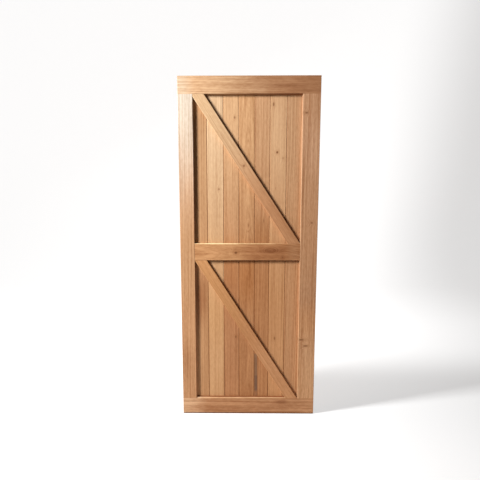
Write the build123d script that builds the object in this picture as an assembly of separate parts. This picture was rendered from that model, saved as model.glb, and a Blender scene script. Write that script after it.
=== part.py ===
from build123d import *
from math import acos, atan2, cos, hypot, tan
import os

# A framed, railed and braced sliding door leaf of solid softwood, in millimetres.
# X runs across the door, Y from its face (-) to its back (+), and Z up.
# The origin is the middle of the bottom edge.

# The leaf
door_width = 820.0
door_height = 2040.0
door_thickness = 40.0

# The frame: two stiles between full-width top and bottom rails
left_stile_width = 86.0
right_stile_width = 103.0
top_rail_height = 100.0
bottom_rail_height = 103.0

# The pieces on the face, set between the stiles
mid_rail_height = 102.0
mid_rail_underside = 980.0
brace_width = 62.0
upper_brace_heel = 14.0
lower_brace_heel = 2.0

# The tongued and grooved boards, from the left, all ripped alike to fill the rebate
board_thickness = 18.0
board_widths = (89.5, 97.0, 92.0, 94.5, 88.0, 97.5, 97.5)
rebate_width = 14.0
panel_gap = 1.5
tongue_thickness = 6.0
tongue_length = 7.0
tongue_clearance = 0.3
shoulder_gap = 0.4
face_v_depth = 2.2
back_v_depth = 1.0

# The eased edges
arris_radius = 2.5
outer_arris_radius = 2.0

# The groove in the bottom edge that runs over the floor guide
guide_groove_width = 8.0
guide_groove_depth = 20.0

# The loose tenons in the frame's corners, which stand in a mortise in the rail and in the stile
corner_tenon_thickness = 12.0
corner_tenon_width = 48.0
corner_tenon_length = 110.0
corner_tenon_in_rail = 50.0
corner_tenon_edge = 12.0

# The loose tenons at the ends of the middle rail, half in the rail and half in the stile
rail_tenon_thickness = 8.0
rail_tenon_width = 50.0
rail_tenon_length = 50.0

# The fit of every tenon in its mortises
tenon_clearance = 0.1
tenon_end_gap = 0.9

# The rectangular brads driven from the back, through the boards into what they lie on
brad_length = 32.0
brad_width = 1.4
brad_height = 1.6
brad_head_height = 2.8
brad_head_thickness = 1.0
brad_clearance = 0.05
rebate_brad_inset = 7.0
brads_along_stile = 6
board_end_brads = 2
board_end_brad_inset = 22.0
mid_rail_brad_edge = 25.0
brace_brad_end = 35.0
brace_brad_spacing = 24.0

# Where the main faces lie
left = -door_width / 2
right = door_width / 2
face = -door_thickness / 2
back = door_thickness / 2
board_face = back - board_thickness
open_left = left + left_stile_width
open_right = right - right_stile_width
open_bottom = bottom_rail_height
open_top = door_height - top_rail_height
mid_rail_top = mid_rail_underside + mid_rail_height

# The rebate round the back of the opening, and the panel of boards in it
rebate_left = open_left - rebate_width
rebate_right = open_right + rebate_width
rebate_bottom = open_bottom - rebate_width
rebate_top = open_top + rebate_width
panel_left = rebate_left + panel_gap
panel_right = rebate_right - panel_gap
panel_bottom = rebate_bottom + panel_gap
panel_top = rebate_top - panel_gap


def block(x0, x1, y0, y1, z0, z1):
    """A square-edged timber between two corners."""
    corner = (Align.MIN, Align.MIN, Align.MIN)
    return Pos(x0, y0, z0) * Box(x1 - x0, y1 - y0, z1 - z0, align=corner)


def near(value, target):
    return abs(value - target) < 0.01


def flat_tenon(origin, along, across, width, thickness, length):
    """A flat bar with round edges, its length along one direction and its width along another."""
    plane = Plane(origin=origin, x_dir=across, z_dir=along)
    return extrude(plane * SlotOverall(width, thickness), length)


def cut_all(timber, cutters):
    """Takes away from a timber each cutter whose box meets the timber's box."""
    box = timber.bounding_box()
    near_ones = []
    for cutter in cutters:
        other = cutter.bounding_box()
        apart = (
            other.min.X > box.max.X or other.max.X < box.min.X
            or other.min.Y > box.max.Y or other.max.Y < box.min.Y
            or other.min.Z > box.max.Z or other.max.Z < box.min.Z
        )
        if not apart:
            near_ones.append(cutter)
    return timber - near_ones if near_ones else timber


# Where the boards meet

def board_edges():
    """The left edge of each board's cover, and the panel's right edge at the end."""
    ripped = (panel_right - panel_left) / sum(board_widths)
    edges = [panel_left]
    for width in board_widths:
        edges.append(edges[-1] + width * ripped)
    return edges


def board_centres():
    edges = board_edges()
    return [(a + b) / 2 for a, b in zip(edges[:-1], edges[1:])]


# The lean of the braces

def brace_lean(low, high, heel):
    """
    The angle between a brace and the vertical. Its upper edge runs through the opening's
    lower right corner, and its lower edge meets the left stile a heel below the upper left one.
    """
    across = open_right - open_left
    rise = high - low - heel
    return acos(brace_width / hypot(across, rise)) - atan2(rise, across)


def brace_centre_x(z, low, lean):
    """Where a brace's centre line is at a height."""
    return open_right - brace_width / cos(lean) / 2 - (z - low) * tan(lean)


# Loose tenons, and the mortises that they sit in

def corner_tenons(clearance, end_gap):
    """One upright tenon in each corner, from inside the rail into the stile's end."""
    bars = []
    inset = corner_tenon_edge + corner_tenon_width / 2
    for x in (left + inset, right - inset):
        for joint, into_rail in ((open_bottom, -1), (open_top, 1)):
            start = joint + into_rail * (corner_tenon_in_rail + end_gap)
            bars.append(flat_tenon((x, 0, start), (0, 0, -into_rail), (1, 0, 0),
                                   corner_tenon_width + 2 * clearance,
                                   corner_tenon_thickness + 2 * clearance,
                                   corner_tenon_length + 2 * end_gap))
    return bars


def mid_rail_tenons(clearance, end_gap):
    """One level tenon at each end of the middle rail, half of it in the stile."""
    y = (face + board_face) / 2
    z = mid_rail_underside + mid_rail_height / 2
    bars = []
    for joint in (open_left, open_right):
        start = joint - rail_tenon_length / 2 - end_gap
        bars.append(flat_tenon((start, y, z), (1, 0, 0), (0, 0, 1),
                               rail_tenon_width + 2 * clearance,
                               rail_tenon_thickness + 2 * clearance,
                               rail_tenon_length + 2 * end_gap))
    return bars


def mortises():
    return (corner_tenons(tenon_clearance, tenon_end_gap)
            + mid_rail_tenons(tenon_clearance, tenon_end_gap))


# Brads driven from the back, and the holes that they sit in

def mid_rail_brad_places():
    """A pair through the middle of each board into the middle rail."""
    low = mid_rail_underside + mid_rail_brad_edge
    high = mid_rail_top - mid_rail_brad_edge
    return [(x, z) for x in board_centres() for z in (low, high)]


def brace_brad_places():
    """A pair on each brace's centre line through each board that it crosses."""
    places = []
    half = brace_brad_spacing / 2
    for low, high, heel in ((mid_rail_top, open_top, upper_brace_heel),
                            (open_bottom, mid_rail_underside, lower_brace_heel)):
        lean = brace_lean(low, high, heel)
        first = brace_centre_x(high - brace_brad_end, low, lean)
        last = brace_centre_x(low + brace_brad_end, low, lean)
        for centre in board_centres():
            middle = min(max(centre, first + half), last - half)
            for x in (middle - half, middle + half):
                places.append((x, low + brace_brad_end + (last - x) / tan(lean)))
    return places


def rebate_brad_places():
    """Brads through the ends of every board, and through the outer edges of the first and last."""
    places = []
    edges = board_edges()
    for a, b in zip(edges[:-1], edges[1:]):
        for k in range(board_end_brads):
            share = k / max(board_end_brads - 1, 1)
            x = a + board_end_brad_inset + (b - a - 2 * board_end_brad_inset) * share
            places.append((x, rebate_bottom + rebate_brad_inset))
            places.append((x, rebate_top - rebate_brad_inset))
    spacing = (open_top - open_bottom) / (brads_along_stile + 1)
    for k in range(brads_along_stile):
        z = open_bottom + spacing * (k + 1)
        places.append((rebate_left + rebate_brad_inset, z))
        places.append((rebate_right - rebate_brad_inset, z))
    return places


def brad(x, z, clearance=0.0):
    """A T-headed brad with its head flush with the back, or with a clearance its hole."""
    half_width = brad_width / 2 + clearance
    half_height = brad_height / 2 + clearance
    half_head = brad_head_height / 2 + clearance
    neck = back - brad_head_thickness
    shank = block(x - half_width, x + half_width, back - brad_length - clearance, back,
                  z - half_height, z + half_height)
    head = block(x - half_width, x + half_width, neck, back, z - half_head, z + half_head)
    return shank + head


def brads(clearance=0.0):
    places = mid_rail_brad_places() + brace_brad_places() + rebate_brad_places()
    return [brad(x, z, clearance) for x, z in places]


# The frame

def rebate():
    """The space routed round the back of the opening for the boards."""
    return block(rebate_left, rebate_right, board_face, back + 1, rebate_bottom, rebate_top)


def stile(x0, x1, outer, inner, holes):
    """An upright between the rails, with its outer arrises and its inner face arris eased."""
    timber = block(x0, x1, face, back, open_bottom, open_top)
    uprights = timber.edges().filter_by(Axis.Z)
    timber = fillet([e for e in uprights if near(e.center().X, outer)], outer_arris_radius)
    uprights = timber.edges().filter_by(Axis.Z)
    inner_edge = [e for e in uprights if near(e.center().X, inner) and near(e.center().Y, face)]
    timber = fillet(inner_edge, arris_radius)
    return cut_all(timber - rebate(), holes)


def stopped_easing(z, into_rail):
    """The waste of the eased arris that a rail has between the stiles only."""
    waste = Pos(arris_radius / 2, arris_radius / 2) * Rectangle(arris_radius, arris_radius)
    waste -= Circle(arris_radius)
    start = open_left if into_rail > 0 else open_right
    plane = Plane(origin=(start, face + arris_radius, z + into_rail * arris_radius),
                  x_dir=(0, -1, 0), z_dir=(into_rail, 0, 0))
    return extrude(plane * waste, open_right - open_left)


def full_rail(z0, z1, outer, inner, into_rail, holes):
    """A full-width rail with its outer arrises eased, and its inner one between the stiles."""
    timber = block(left, right, face, back, z0, z1)
    eased = [e for e in timber.edges() if near(e.center().Z, outer)]
    eased += [e for e in timber.edges().filter_by(Axis.Z)]
    timber = fillet(eased, outer_arris_radius)
    timber -= stopped_easing(inner, into_rail)
    return cut_all(timber - rebate(), holes)


def guide_groove():
    """The groove along the bottom edge."""
    half = guide_groove_width / 2
    return block(left - 1, right + 1, -half, half, -1, guide_groove_depth)


def mid_rail(holes):
    """The middle rail lies on the boards and is flush with the frame."""
    timber = block(open_left, open_right, face, board_face, mid_rail_underside, mid_rail_top)
    long_edges = timber.edges().filter_by(Axis.X)
    timber = fillet([e for e in long_edges if near(e.center().Y, face)], arris_radius)
    return cut_all(timber, holes)


def brace(low, high, heel, holes):
    """A leaning timber on the boards, cut level under the rail above and over the rail below."""
    lean = brace_lean(low, high, heel)
    across = brace_width / cos(lean)
    top_right = open_right - (high - low) * tan(lean)
    outline = [(open_left, high - heel), (open_left, high), (top_right, high),
               (open_right, low), (open_right - across, low)]
    section = Plane.XZ.offset(-board_face) * make_face(Polyline(outline, close=True))
    timber = extrude(section, board_face - face)
    leaning = [e for e in timber.edges()
               if near(e.center().Y, face) and e.length > (high - low) / 2]
    return cut_all(fillet(leaning, arris_radius), holes)


# The boards

def board_section(x0, x1, is_first, is_last):
    """
    The section of one board, seen from above: a tongue on its right edge, a groove in its left
    edge, and a chamfer at both arrises of each joint. The outer boards are plain at the stile.
    """
    middle = (board_face + back) / 2
    a = x0 if is_first else x0 + shoulder_gap / 2
    b = x1 if is_last else x1 - shoulder_gap / 2
    face_left = 0 if is_first else face_v_depth
    back_left = 0 if is_first else back_v_depth
    face_right = 0 if is_last else face_v_depth
    back_right = 0 if is_last else back_v_depth
    outline = [(a + face_left, board_face), (b - face_right, board_face)]
    if not is_last:
        t = tongue_thickness / 2
        outline += [(b, board_face + face_right), (b, middle - t), (b + tongue_length, middle - t),
                    (b + tongue_length, middle + t), (b, middle + t), (b, back - back_right)]
    outline += [(b - back_right, back), (a + back_left, back)]
    if not is_first:
        g = tongue_thickness / 2 + tongue_clearance
        bottom = a + tongue_length + tongue_clearance
        outline += [(a, back - back_left), (a, middle + g), (bottom, middle + g),
                    (bottom, middle - g), (a, middle - g), (a, board_face + face_left)]
    return make_face(Polyline(outline, close=True))


def board(x0, x1, is_first, is_last, holes):
    section = Pos(0, 0, panel_bottom) * board_section(x0, x1, is_first, is_last)
    return cut_all(extrude(section, panel_top - panel_bottom), holes)


# Each piece on its own, by name

def build():
    brad_holes = brads(brad_clearance)
    cuts = mortises() + brad_holes
    pieces = {
        "left_stile": stile(left, open_left, left, open_left, cuts),
        "right_stile": stile(open_right, right, right, open_right, cuts),
        "top_rail": full_rail(open_top, door_height, door_height, open_top, 1, cuts),
        "bottom_rail": full_rail(0, open_bottom, 0, open_bottom, -1, cuts) - guide_groove(),
        "mid_rail": mid_rail(cuts),
        "upper_brace": brace(mid_rail_top, open_top, upper_brace_heel, brad_holes),
        "lower_brace": brace(open_bottom, mid_rail_underside, lower_brace_heel, brad_holes),
        "corner_tenons": Compound(corner_tenons(0, 0)),
        "mid_rail_tenons": Compound(mid_rail_tenons(0, 0)),
        "board_brads": Compound(brads()),
    }
    edges = board_edges()
    count = len(edges) - 1
    for k in range(count):
        pieces[f"board_{k + 1}"] = board(edges[k], edges[k + 1], k == 0, k == count - 1,
                                       brad_holes)
    return pieces


os.makedirs("parts", exist_ok=True)
for name, solid in build().items():
    export_step(solid, f"parts/{name}.step")
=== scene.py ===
"""Sliding barn door leaf: a framed timber leaf of 820 x 2040 x 40 mm, standing alone on a white floor.

Everything is in metres: X across the door, Y into it (the front face is at Y = -0.02), Z up from its foot.
"""
import math

import bpy
import numpy as np
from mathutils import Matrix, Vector

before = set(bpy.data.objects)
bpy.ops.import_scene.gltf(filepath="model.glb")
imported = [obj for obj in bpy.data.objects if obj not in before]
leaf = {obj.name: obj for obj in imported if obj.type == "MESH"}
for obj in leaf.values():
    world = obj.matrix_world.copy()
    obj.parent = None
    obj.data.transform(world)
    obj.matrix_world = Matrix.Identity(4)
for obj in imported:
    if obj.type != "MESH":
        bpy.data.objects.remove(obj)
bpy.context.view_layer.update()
scene = bpy.context.scene

# The camera stands close in front of the leaf, a little above its middle and looking slightly down.
# Its lens and place come from the slant of the leaf's edges in the photograph.
eye = bpy.data.cameras.new("eye")
eye.sensor_width = 36.0
eye.lens = 21.0
eye_stand = bpy.data.objects.new("eye", eye)
eye_stand.location = (-0.0408, -1.685, 1.2577)
eye_stand.rotation_euler = (math.radians(84.702), 0.0, math.radians(0.389))
scene.collection.objects.link(eye_stand)
scene.camera = eye_stand
scene.view_settings.view_transform = "Standard"


# The light is one soft lamp high on the left in front, which gives the dark shadow beside the left stile.
# A weak low one stands for what the floor throws back, and one behind lights the back and the top.
# A small one, above the leaf and to its left, casts the leaf's shadow on the paper.
def soft_lamp(name, place, aim, width, height, watts):
    """A rectangular lamp at place, turned so that it shines at aim."""
    lamp = bpy.data.lights.new(name, "AREA")
    lamp.shape = "RECTANGLE"
    lamp.size = width
    lamp.size_y = height
    lamp.energy = watts
    stand = bpy.data.objects.new(name, lamp)
    stand.location = place
    stand.rotation_euler = (Vector(aim) - Vector(place)).to_track_quat("-Z", "Y").to_euler()
    stand.visible_camera = False
    scene.collection.objects.link(stand)
    return stand


key_lamp = soft_lamp("key_lamp", place=(-2.0, -1.5, 2.43), aim=(0.0, 0.0, 1.1),
                     width=0.66, height=1.05, watts=165)
back_lamp = soft_lamp("back_lamp", place=(1.6, 2.2, 3.6), aim=(0.0, 0.0, 1.2),
                      width=1.4, height=1.2, watts=110)
low_lamp = soft_lamp("low_lamp", place=(0.1, -0.8, 0.1), aim=(0.0, 0.0, 0.3),
                     width=1.0, height=0.3, watts=1.6)
floor_lamp = soft_lamp("floor_lamp", place=(-0.94, -0.29, 3.14), aim=(0.8, 0.2, 0.0),
                       width=0.14, height=0.60, watts=80)


# The white paper sweep is the floor and the backdrop in one sheet, with a wide bend between them.
# Its paper glows a little wherever it is seen, straight on or in a gloss, but that glow lights nothing,
# so the paper shows white and keeps the leaf's shadow.
# Where the glow is dimmer, in front of the leaf and towards the far right, it is painted shade.
def node(tree, kind, *sources, **settings):
    """Adds a shader node; a source is a socket to link, a value to set, or None to leave that input."""
    made = tree.nodes.new("ShaderNode" + kind)
    for key, value in settings.items():
        setattr(made, key, value)
    for socket, source in zip(made.inputs, sources):
        if isinstance(source, bpy.types.NodeSocket):
            tree.links.new(source, socket)
        elif source is not None:
            socket.default_value = source
    return made


def calc(tree, operation, *sources):
    """One step of arithmetic on sockets or numbers."""
    return node(tree, "Math", *sources, operation=operation).outputs[0]


def calc_vector(tree, operation, *sources):
    """One step of arithmetic on vectors; a length or a dot product comes out as a number."""
    made = node(tree, "VectorMath", *sources, operation=operation)
    return made.outputs["Value"] if operation in ("LENGTH", "DOT_PRODUCT") else made.outputs[0]


def ease(tree, value, low, high, at_low, at_high):
    """A smooth step from at_low to at_high while the value goes from low to high."""
    made = node(tree, "MapRange", value, low, high, at_low, at_high, interpolation_type="SMOOTHSTEP")
    return made.outputs[0]


def blend_colour(tree, amount, first, second, how="MIX"):
    """Goes from the first colour towards the second by amount, or towards the two blended as how says."""
    made = tree.nodes.new("ShaderNodeMix")
    made.data_type = "RGBA"
    made.blend_type = how
    made.clamp_factor = True
    for socket, source in ((made.inputs[0], amount), (made.inputs[6], first), (made.inputs[7], second)):
        if isinstance(source, bpy.types.NodeSocket):
            tree.links.new(source, socket)
        else:
            socket.default_value = (*source, 1.0) if isinstance(source, tuple) else source
    return made.outputs[2]


def shown_rays(tree):
    """1 for the rays that show the background, and 0 for those that only carry its light.

    The first are the camera's own rays, and those that a piece mirrors or lets through.
    """
    rays = node(tree, "LightPath").outputs
    mirrored = calc(tree, "MAXIMUM", rays["Is Glossy Ray"], rays["Is Transmission Ray"])
    return calc(tree, "MAXIMUM", rays["Is Camera Ray"], mirrored)


def white_paper():
    """White diffuse paper that glows on the shown rays alone.

    The glow eases up from in front of the leaf to behind it, and eases down towards the far right;
    both dimmer parts are painted shade.
    """
    glow_in_front = 0.65
    glow_behind = 0.95
    painted_shade_at_far_right = 0.68
    to_the_right = (1.0, -0.4, -0.2)
    bounced_white = (0.78, 0.68, 0.60)
    shown_white = (0.70, 0.70, 0.70)
    paper = bpy.data.materials.new("white_paper")
    paper.use_nodes = True
    tree = paper.node_tree
    tree.nodes.clear()
    spot = node(tree, "TexCoord").outputs["Object"]
    place = node(tree, "SeparateXYZ", spot)
    # Painted shade: a dimmer glow in front of the leaf deepens its shadow there, and a dimmer glow towards
    # the far right greys the backdrop.
    depth = ease(tree, place.outputs["Y"], -0.2, 1.6, glow_in_front, glow_behind)
    right = ease(tree, calc_vector(tree, "DOT_PRODUCT", spot, to_the_right), 0.3, 2.8, 1.0, painted_shade_at_far_right)
    seen = shown_rays(tree)
    glow = calc(tree, "MULTIPLY", calc(tree, "MULTIPLY", depth, right), seen)
    sheet = node(tree, "BsdfDiffuse", blend_colour(tree, seen, bounced_white, shown_white))
    lit = node(tree, "Emission", (1.0, 1.0, 1.0, 1.0), glow)
    both = node(tree, "AddShader", sheet.outputs[0], lit.outputs[0])
    node(tree, "OutputMaterial", both.outputs[0])
    return paper


# The sheet is one profile carried straight across: flat floor, a quarter circle, and the upright backdrop.
paper_front = -6.0
paper_top = 7.0
half_width = 9.0
bend_start = 3.0
bend_radius = 1.5
bend = np.linspace(0.0, math.pi / 2, 24)
sweep_y = np.concatenate([[paper_front], bend_start + bend_radius * np.sin(bend), [bend_start + bend_radius]])
sweep_z = np.concatenate([[0.0], bend_radius - bend_radius * np.cos(bend), [paper_top]])
across = np.array([-half_width, half_width])
sweep_points = np.stack([np.tile(across, len(sweep_y)), np.repeat(sweep_y, 2), np.repeat(sweep_z, 2)], axis=1)
row = np.arange(len(sweep_y) - 1)
sweep_faces = np.stack([2 * row, 2 * row + 1, 2 * row + 3, 2 * row + 2], axis=1)
sweep_mesh = bpy.data.meshes.new("paper_sweep")
sweep_mesh.from_pydata(sweep_points.tolist(), [], sweep_faces.tolist())
sweep_mesh.shade_smooth()
sweep_mesh.materials.append(white_paper())
sweep = bpy.data.objects.new("paper_sweep", sweep_mesh)
scene.collection.objects.link(sweep)

# Past the paper's edge the room is white too.
# What falls on the leaf from it is weak and warm, like the light of a room round the paper.
room = bpy.data.worlds.new("room")
room.use_nodes = True
room.node_tree.nodes.clear()
warm = node(room.node_tree, "Background", (1.0, 0.50, 0.28, 1.0), 0.022)
white = node(room.node_tree, "Background", (1.0, 1.0, 1.0, 1.0), 1.0)
wall = node(room.node_tree, "MixShader", shown_rays(room.node_tree), warm.outputs[0], white.outputs[0])
node(room.node_tree, "OutputWorld", wall.outputs[0])
scene.world = room

# The lamps are flagged: the floor lamp lights the paper alone, with the leaf's shadow in it,
# and the others light the leaf alone.
paper_only = bpy.data.collections.new("paper_only")
paper_only.objects.link(sweep)
floor_lamp.light_linking.receiver_collection = paper_only
leaf_only = bpy.data.collections.new("leaf_only")
for piece in leaf.values():
    leaf_only.objects.link(piece)
for lamp in (key_lamp, low_lamp, back_lamp):
    lamp.light_linking.receiver_collection = leaf_only


# The two stiles are straight-grained uprights between the full-width rails, planed and given a satin oil.
# Their timber is worked out as a solid, so that the year rings run on from the face to the edges and ends.
def on_grain(tree, vector, centre, lean):
    """Turns a vector so that Z runs along the grain: the timber leans by that angle about Y."""
    made = node(tree, "Mapping", vector, vector_type="TEXTURE")
    made.inputs["Location"].default_value = centre
    made.inputs["Rotation"].default_value = (0.0, lean, 0.0)
    return made.outputs[0]


def cloud(tree, vector, stretch, detail, seed, roughness=0.55):
    """Noise from 0 to 1, stretched by the three scales along u, v and w.

    The seed picks another part of it.
    """
    spread = calc_vector(tree, "MULTIPLY", vector, stretch)
    moved = calc_vector(tree, "ADD", spread, (seed * 7.31, seed * 3.17, seed * 5.03))
    made = node(tree, "TexNoise")
    tree.links.new(moved, made.inputs["Vector"])
    made.inputs["Scale"].default_value = 1.0
    made.inputs["Detail"].default_value = detail
    made.inputs["Roughness"].default_value = roughness
    return made


def tinted(tree, colour, tint):
    """The colour multiplied by the tint."""
    return blend_colour(tree, 1.0, colour, tint, "MULTIPLY")


def timber(name, centre, lean, heart, tones, ends, seed, ring=0.0034, knots=(), marks=(), contrast=1.0,
           groove=(1.0, 0.95, 0.9), ledge=False):
    """Solid sawn timber, in its own frame of u across, v into the door and w along the grain.

    heart is the tree's heart line: u and v where w is 0, and how far each drifts per metre of w.
    A point's ring is its distance from that line over the ring width, after slow waves and the swelling
    round each knot. tones are the timber's colours at its two ends, at the w values in ends, and contrast
    scales how strongly its years, streaks, mottle and patches change them. The seed gives it its own noises.
    A knot is (x, z, half width, half height, darkness).
    A mark is (x, z, half width, half height, softness of its edge, tint).
    groove tints the bevelled and rounded edges. With ledge, the top face gets a painted highlight along its
    front and painted shade in the corner against the boards.
    """
    wave_swing = (0.026, 0.026, 0.0)
    pale_tint = (1.17, 1.21, 1.24)
    dark_tint = (0.72, 0.62, 0.53)
    end_tint = (0.62, 0.54, 0.48)
    # Tints of the painted highlight and the painted shade on the rounded edges.
    edge_painted_shade = (0.45, 0.36, 0.31)
    edge_painted_highlight = (1.45, 1.70, 1.95)
    ledge_painted_highlight = (1.55, 2.05, 2.40)
    ledge_painted_shade = (0.62, 0.44, 0.34)
    knot_core = (0.15, 0.055, 0.02)

    made = bpy.data.materials.new(name)
    made.use_nodes = True
    tree = made.node_tree
    place = node(tree, "TexCoord").outputs["Object"]
    spot = on_grain(tree, place, centre, lean)
    along = node(tree, "SeparateXYZ", spot).outputs["Z"]
    face = calc_vector(tree, "MULTIPLY", place, (1.0, 0.0, 1.0))

    # The distance from the heart line, with the grain bent by slow waves and swelling round the knots.
    wave = cloud(tree, spot, (7.0, 7.0, 0.9), 3.0, seed).outputs["Color"]
    wave = calc_vector(tree, "SUBTRACT", wave, (0.5, 0.5, 0.5))
    wave = calc_vector(tree, "MULTIPLY", wave, wave_swing)
    bent = calc_vector(tree, "ADD", spot, wave)
    drift = node(tree, "CombineXYZ", calc(tree, "MULTIPLY_ADD", along, heart[2], heart[0]),
                 calc(tree, "MULTIPLY_ADD", along, heart[3], heart[1]), 0.0).outputs[0]
    out = calc_vector(tree, "SUBTRACT", bent, drift)
    out = calc_vector(tree, "MULTIPLY", out, (1.0, 1.0, 0.0))
    radius = calc_vector(tree, "LENGTH", out)
    rims = []
    for x, z, half_wide, half_high, darkness in knots:
        off = calc_vector(tree, "SUBTRACT", face, (x, 0.0, z))
        off = calc_vector(tree, "MULTIPLY", off, (1 / half_wide, 0.0, 1 / half_high))
        far = calc_vector(tree, "LENGTH", off)
        rims.append((far, darkness))
        radius = calc(tree, "MULTIPLY_ADD", ease(tree, far, 0.4, 4.5, 1.0, 0.0), 1.6 * half_wide, radius)

    # Late wood darkens each ring towards its sharp outer rim, and some years are darker than others.
    # Streaks, fibres and pores run long and thin along the grain, and patches and mottle are broader.
    turn = calc(tree, "FRACT", calc(tree, "DIVIDE", radius, ring))
    late = calc(tree, "MULTIPLY", ease(tree, turn, 0.35, 0.9, 0.0, 1.0),
                ease(tree, turn, 0.93, 1.0, 1.0, 0.0))
    years = node(tree, "TexNoise", noise_dimensions="1D")
    tree.links.new(calc(tree, "MULTIPLY_ADD", radius, 150.0, seed * 11.7), years.inputs["W"])
    years.inputs["Scale"].default_value = 1.0
    years.inputs["Detail"].default_value = 4.0
    years.inputs["Roughness"].default_value = 0.62
    streak = cloud(tree, spot, (85.0, 85.0, 1.9), 4.0, seed + 1.7, 0.66).outputs["Fac"]
    fibre = cloud(tree, spot, (640.0, 640.0, 15.0), 3.0, seed + 3.1).outputs["Fac"]
    pore = cloud(tree, spot, (420.0, 420.0, 24.0), 2.0, seed + 5.3).outputs["Fac"]
    pore = ease(tree, pore, 0.60, 0.72, 0.0, 1.0)
    patch = cloud(tree, spot, (9.0, 9.0, 2.2), 3.0, seed + 8.9).outputs["Fac"]
    mottle = cloud(tree, spot, (110.0, 110.0, 34.0), 3.0, seed + 12.3).outputs["Fac"]

    # Their weighted sum says how dark the wood is, from 0 for pale to 1 for dark.
    depth = calc(tree, "MULTIPLY_ADD", years.outputs["Fac"], 1.15 * contrast, 0.42 - 1.68 * contrast)
    depth = calc(tree, "MULTIPLY_ADD", streak, 1.35 * contrast, depth)
    depth = calc(tree, "MULTIPLY_ADD", mottle, 0.80 * contrast, depth)
    depth = calc(tree, "MULTIPLY_ADD", late, 0.16, depth)
    depth = calc(tree, "MULTIPLY_ADD", fibre, 0.16, depth)
    depth = calc(tree, "MULTIPLY_ADD", pore, 0.10, depth)
    depth = calc(tree, "SUBTRACT", depth, 0.355 * contrast)
    depth = calc(tree, "MULTIPLY_ADD", patch, 0.55 * contrast, depth)
    run = calc(tree, "MULTIPLY_ADD", calc(tree, "SUBTRACT", patch, 0.5), 0.35, along)
    colour = blend_colour(tree, ease(tree, run, ends[0], ends[1], 0.0, 1.0), tones[0], tones[1])
    light_wood = tinted(tree, colour, pale_tint)
    dark_wood = tinted(tree, colour, dark_tint)
    colour = blend_colour(tree, depth, light_wood, dark_wood)

    # Marks are soft-edged patches of another tint, and a knot is a dark core in a wider halo.
    rough_edge = calc_vector(tree, "MULTIPLY", wave, (1.0, 0.0, 1.0))
    torn = calc_vector(tree, "ADD", face, rough_edge)
    for x, z, half_wide, half_high, edge, tint in marks:
        off = calc_vector(tree, "SUBTRACT", torn, (x, 0.0, z))
        off = calc_vector(tree, "ABSOLUTE", off)
        off = calc_vector(tree, "MULTIPLY", off, (1 / half_wide, 0.0, 1 / half_high))
        sides = node(tree, "SeparateXYZ", off)
        inside = calc(tree, "MULTIPLY", ease(tree, sides.outputs["X"], 1 - edge, 1 + edge, 1.0, 0.0),
                      ease(tree, sides.outputs["Z"], 1 - edge, 1 + edge, 1.0, 0.0))
        colour = blend_colour(tree, inside, colour, tinted(tree, colour, tint))
    for far, darkness in rims:
        halo = calc(tree, "MULTIPLY", ease(tree, far, 0.7, 3.2, 1.0, 0.0), 0.60 * darkness)
        colour = blend_colour(tree, halo, colour, dark_wood)
        core = calc(tree, "MULTIPLY", ease(tree, far, 0.45, 1.15, 1.0, 0.0), darkness)
        colour = blend_colour(tree, core, colour, knot_core)

    # Cut ends are darker. Rounded edges that face up and left, towards the key lamp, get a painted highlight,
    # and those that face away get painted shade.
    facing = on_grain(tree, node(tree, "NewGeometry").outputs["Normal"], (0.0, 0.0, 0.0), lean)
    facing = node(tree, "SeparateXYZ", calc_vector(tree, "ABSOLUTE", facing))
    end_grain = ease(tree, facing.outputs["Z"], 0.6, 0.95, 0.0, 1.0)
    colour = blend_colour(tree, end_grain, colour, tinted(tree, colour, end_tint))
    flat = calc(tree, "MAXIMUM", facing.outputs["X"], facing.outputs["Y"])
    flat = calc(tree, "MAXIMUM", flat, facing.outputs["Z"])
    arris = ease(tree, flat, 0.80, 0.99, 1.0, 0.0)
    normal = node(tree, "NewGeometry").outputs["Normal"]
    toward_key_lamp = calc_vector(tree, "DOT_PRODUCT", normal, (-0.8, 0.0, 0.6))
    edge_light_and_groove_tint = blend_colour(tree, ease(tree, toward_key_lamp, -0.5, 0.5, 0.0, 1.0), edge_painted_shade, edge_painted_highlight)
    edge_light_and_groove_tint = tinted(tree, edge_light_and_groove_tint, groove)
    colour = blend_colour(tree, arris, colour, tinted(tree, colour, edge_light_and_groove_tint))

    # Painted highlight on the front of a rail's top face, and painted shade in its corner against the boards.
    if ledge:
        inner = ease(tree, node(tree, "SeparateXYZ", place).outputs["Y"], -0.013, -0.006, 0.0, 1.0)
        tint = blend_colour(tree, inner, ledge_painted_highlight, ledge_painted_shade)
        top = ease(tree, node(tree, "SeparateXYZ", normal).outputs["Z"], 0.80, 0.98, 0.0, 1.0)
        colour = blend_colour(tree, top, colour, tinted(tree, colour, tint))

    # The oil has a soft gloss, duller in pores and on cut ends, over a shallow relief of fibres and knots.
    shader = tree.nodes["Principled BSDF"]
    tree.links.new(colour, shader.inputs["Base Color"])
    sheen = calc(tree, "MULTIPLY_ADD", streak, 0.14, 0.48)
    sheen = calc(tree, "MULTIPLY_ADD", end_grain, 0.2, sheen)
    sheen = calc(tree, "MULTIPLY_ADD", pore, 0.12, sheen)
    tree.links.new(sheen, shader.inputs["Roughness"])
    shader.inputs["Specular IOR Level"].default_value = 0.16
    height = calc(tree, "MULTIPLY_ADD", fibre, 0.55, calc(tree, "MULTIPLY", late, 0.35))
    height = calc(tree, "MULTIPLY_ADD", pore, -0.5, height)
    for far, darkness in rims:
        height = calc(tree, "MULTIPLY_ADD", ease(tree, far, 0.7, 1.25, 0.7, 0.0), darkness, height)
    relief = node(tree, "Bump")
    relief.inputs["Strength"].default_value = 0.15
    relief.inputs["Distance"].default_value = 0.0004
    tree.links.new(height, relief.inputs["Height"])
    tree.links.new(relief.outputs[0], shader.inputs["Normal"])
    return made


def dress(name, material):
    """Gives a CAD piece its finish, in every material slot it has."""
    for slot in leaf[name].material_slots:
        slot.material = material


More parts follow.
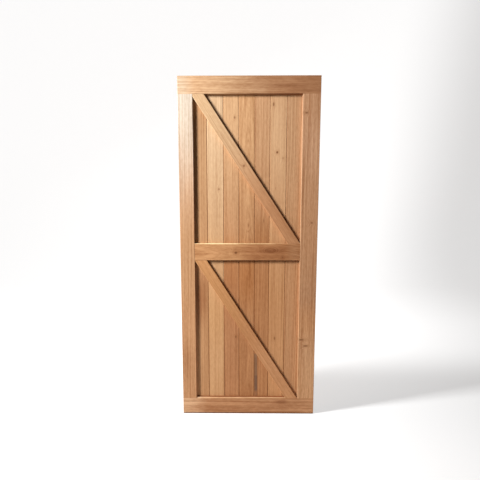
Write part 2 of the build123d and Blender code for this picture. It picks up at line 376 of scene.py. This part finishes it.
upright = 0.0
dress("left_stile", timber(
    "left_stile_timber", centre=(-0.367, 0.0, 1.02), lean=upright, heart=(0.19, 0.10, 0.02, 0.0),
    # Its top end's paler, greyer tone is partly its own colour and partly a painted sheen from the key lamp.
    tones=((0.47, 0.25, 0.125), (0.461, 0.392, 0.315)), ends=(0.05, 0.95), seed=1.0, contrast=1.25,
    marks=((-0.385, 0.35, 0.03, 0.10, 0.9, (0.80, 0.74, 0.70)),
           # The broad mark at mid height is painted shade.
           (-0.367, 1.05, 0.06, 0.30, 0.9, (0.86, 0.89, 0.88)))))
dress("right_stile", timber(
    "right_stile_timber", centre=(0.3585, 0.0, 1.02), lean=upright, heart=(0.15, 0.05, 0.008, 0.0),
    tones=((0.498, 0.275, 0.141), (0.422, 0.228, 0.122)), ends=(-0.75, -0.25), seed=2.0, ring=0.0042,
    knots=((0.368, 0.27, 0.014, 0.09, 0.0),
           (0.330, 1.835, 0.009, 0.0065, 0.7),
           (0.373, 1.206, 0.009, 0.008, 0.5),
           (0.326, 0.485, 0.017, 0.0055, 0.8),
           (0.352, 0.446, 0.018, 0.0050, 0.75)),
    marks=((0.3205, 1.40, 0.0045, 0.20, 0.6, (0.84, 0.78, 0.72)),
           (0.329, 0.30, 0.003, 0.24, 0.6, (0.78, 0.68, 0.60)),
           (0.36, 1.68, 0.05, 0.12, 0.9, (1.10, 1.15, 1.22)),
           (0.36, 1.05, 0.06, 0.25, 0.9, (1.0, 0.97, 0.92)),
           (0.36, 0.60, 0.06, 0.10, 0.9, (1.10, 1.04, 0.94)),
           (0.345, 1.80, 0.006, 0.20, 0.6, (0.88, 0.82, 0.77)),
           (0.385, 0.85, 0.006, 0.22, 0.6, (0.86, 0.79, 0.73))),
    contrast=1.3))

# The top and bottom rails run the full width over and under the stiles, glued on loose tenons.
# The middle rail lies on the boards and is tenoned into the stiles.
# The top rail is pale at its left end and redder, with dark streaks, towards its right.
crosswise = math.radians(90)
dress("top_rail", timber(
    "top_rail_timber", centre=(0.0, 0.0, 1.99), lean=crosswise, heart=(0.14, 0.06, 0.03, 0.02),
    tones=((0.458, 0.282, 0.155), (0.303, 0.143, 0.067)), ends=(-0.12, 0.26), seed=3.0, contrast=1.3,
    marks=((0.20, 1.985, 0.09, 0.010, 0.8, (0.82, 0.76, 0.72)),
           # The pale, greyer patch at its left end is a painted sheen from the key lamp.
           (-0.39, 1.99, 0.045, 0.08, 0.9, (1.02, 1.2, 1.45)))))
dress("bottom_rail", timber(
    "bottom_rail_timber", centre=(0.0, 0.0, 0.0515), lean=crosswise, heart=(-0.17, 0.07, 0.02, 0.03),
    tones=((0.565, 0.34, 0.195), (0.393, 0.194, 0.092)), ends=(-0.40, -0.20), seed=4.0, contrast=1.6,
    # The dark band along its foot is a painted contact shadow.
    marks=((0.0, 0.0, 0.5, 0.0075, 0.4, (0.24, 0.20, 0.18)),
           (0.385, 0.05, 0.05, 0.07, 0.9, (1.15, 1.2, 1.25)),
           (0.207, 0.078, 0.035, 0.012, 0.8, (0.74, 0.66, 0.62))),
    ledge=True))
dress("mid_rail", timber(
    "mid_rail_timber", centre=(0.0, 0.0, 1.031), lean=crosswise, heart=(0.02, 0.09, 0.04, 0.05),
    tones=((0.423, 0.213, 0.094), (0.335, 0.147, 0.061)), ends=(-0.12, 0.08), seed=5.0, contrast=1.4,
    knots=((-0.077, 1.026, 0.0105, 0.008, 0.9),
           (0.203, 0.998, 0.007, 0.006, 0.7),
           (0.125, 1.036, 0.020, 0.009, 0.25)),
    # The thin pale band along its top edge is a painted highlight.
    marks=((-0.0675, 1.0805, 0.2275, 0.003, 0.3, (1.5, 2.0, 2.3)),
           (0.14, 1.038, 0.05, 0.012, 0.9, (0.66, 0.55, 0.50)),
           (0.27, 1.03, 0.03, 0.06, 0.9, (1.06, 1.17, 1.30))),
    ledge=True))

# The braces lean from the upper left to the lower right corner of each opening, with their grain along them.
# They lie on the boards, flush with the frame.
upper_lean = math.radians(-33.4)
lower_lean = math.radians(-32.5)
dress("upper_brace", timber(
    "upper_brace_timber", centre=(-0.0085, -0.009, 1.511), lean=upper_lean, heart=(0.16, 0.05, 0.02, 0.0),
    tones=((0.4, 0.195, 0.092), (0.477, 0.316, 0.177)), ends=(-0.35, 0.45), seed=6.0,
    knots=((-0.029, 1.538, 0.0065, 0.0085, 0.7),)))
dress("lower_brace", timber(
    "lower_brace_timber", centre=(-0.0085, -0.009, 0.5415), lean=lower_lean, heart=(-0.13, 0.06, 0.01, 0.0),
    tones=((0.453, 0.225, 0.104), (0.463, 0.232, 0.097)), ends=(-0.35, 0.35), seed=7.0,
    marks=((-0.01, 0.55, 0.10, 0.15, 0.9, (0.90, 0.85, 0.80)),)))

# Seven upright boards with V joints close the leaf behind the braces, tongued and grooved into each other.
# Each was sawn from another plank, so each has its own colour, rings and knots.
# A row is the name, the middle, the heart line, the tones at foot and top, the contrast, knots and marks.
board_looks = (
    ("board_1", -0.2870, (0.21, 0.03, 0.01, 0.0), (0.445, 0.236, 0.112), (0.35, 0.196, 0.094), 1.0,
     (),
     ((-0.300, 0.74, 0.04, 0.13, 0.9, (0.72, 0.60, 0.54)),)),
    ("board_2", -0.1985, (-0.16, 0.09, 0.02, 0.01), (0.524, 0.297, 0.146), (0.508, 0.342, 0.202), 0.9,
     ((-0.178, 1.405, 0.007, 0.008, 0.5),),
     # This broad mark is painted shade.
     ((-0.20, 0.62, 0.06, 0.15, 0.9, (0.95, 0.92, 0.86)),)),
    ("board_3", -0.1040, (0.18, 0.05, 0.01, 0.0), (0.4, 0.188, 0.085), (0.477, 0.283, 0.147), 1.1,
     ((-0.0836, 1.817, 0.006, 0.009, 0.6),
      (-0.0785, 0.494, 0.006, 0.010, 0.65)),
     # This broad mark at mid height is painted shade.
     ((-0.105, 0.90, 0.06, 0.16, 0.9, (0.90, 0.80, 0.69)),)),
    ("board_4", -0.0108, (0.012, 0.035, 0.0, 0.03), (0.371, 0.171, 0.072), (0.469, 0.264, 0.13), 1.35,
     ((-0.002, 1.19, 0.004, 0.012, 0.4),),
     # This broad mark at mid height is painted shade.
     ((-0.01, 0.88, 0.06, 0.16, 0.9, (0.91, 0.80, 0.67)),)),
    ("board_5", 0.0805, (-0.19, 0.04, 0.02, 0.0), (0.375, 0.171, 0.071), (0.445, 0.249, 0.129), 1.2,
     ((0.091, 1.217, 0.0035, 0.012, 0.5),),
     ((0.0472, 0.262, 0.0092, 0.123, 0.08, (0.62, 0.72, 0.92)),
      (0.0472, 0.17, 0.0092, 0.07, 0.08, (0.72, 0.72, 0.80)),
      # These two broad marks at mid height are painted shade.
      (0.08, 1.13, 0.06, 0.10, 0.9, (0.88, 0.80, 0.71)),
      (0.08, 0.87, 0.06, 0.12, 0.9, (0.94, 0.90, 0.86)))),
    ("board_6", 0.1733, (0.17, 0.07, 0.01, 0.02), (0.47, 0.238, 0.107), (0.524, 0.318, 0.174), 0.9,
     ((0.1424, 1.890, 0.0055, 0.013, 0.75),
      (0.1667, 1.619, 0.007, 0.008, 0.9),
      (0.2010, 1.585, 0.006, 0.009, 0.35),
      (0.1637, 0.484, 0.006, 0.012, 0.6),
      (0.160, 1.41, 0.003, 0.012, 0.4)),
     ()),
    ("board_7", 0.2645, (-0.15, 0.05, 0.02, 0.0), (0.432, 0.219, 0.103), (0.438, 0.248, 0.13), 1.2,
     (),
     ()),
)
board_depth = 0.011
board_middle = 1.02
joint_shade = (0.60, 0.45, 0.34)
for index, (name, middle, heart, low_tone, high_tone, contrast, knots, marks) in enumerate(board_looks):
    dress(name, timber(
        name + "_timber", centre=(middle, board_depth, board_middle), lean=upright, heart=heart,
        tones=(low_tone, high_tone), ends=(-0.35, 0.75), seed=11.0 + index * 1.9, ring=0.0030,
        knots=knots, marks=marks, contrast=contrast, groove=joint_shade))

# The loose tenons inside the frame's joints are machined from pale beech, with short grain flecks.
# They are glued in and don't show on a closed leaf.
beech_tone = (0.66, 0.44, 0.27)
beech = timber("beech_tenons", centre=(0.0, 0.0, 1.0), lean=upright, heart=(0.5, 0.3, 0.0, 0.0),
               tones=(beech_tone, beech_tone), ends=(-1.0, 1.0), seed=31.0, ring=0.0022, contrast=0.6)
dress("corner_tenons", beech)
dress("mid_rail_tenons", beech)


# The brads are T-headed pins of square-cut steel wire, driven from the back through the boards into the
# rebate's foot, the middle rail and the braces. Their bright zinc has dulled in places.
def dulled_zinc():
    """Zinc plating with a fine cloudy bloom."""
    bright_zinc = (0.62, 0.62, 0.60)
    grey_bloom = (0.36, 0.35, 0.33)
    made = bpy.data.materials.new("dulled_zinc")
    made.use_nodes = True
    tree = made.node_tree
    place = node(tree, "TexCoord").outputs["Object"]
    bloom = cloud(tree, place, (700.0, 700.0, 700.0), 4.0, 2.0).outputs["Fac"]
    shader = tree.nodes["Principled BSDF"]
    tree.links.new(blend_colour(tree, bloom, bright_zinc, grey_bloom), shader.inputs["Base Color"])
    tree.links.new(calc(tree, "MULTIPLY_ADD", bloom, 0.35, 0.22), shader.inputs["Roughness"])
    shader.inputs["Metallic"].default_value = 1.0
    return made


dress("board_brads", dulled_zinc())
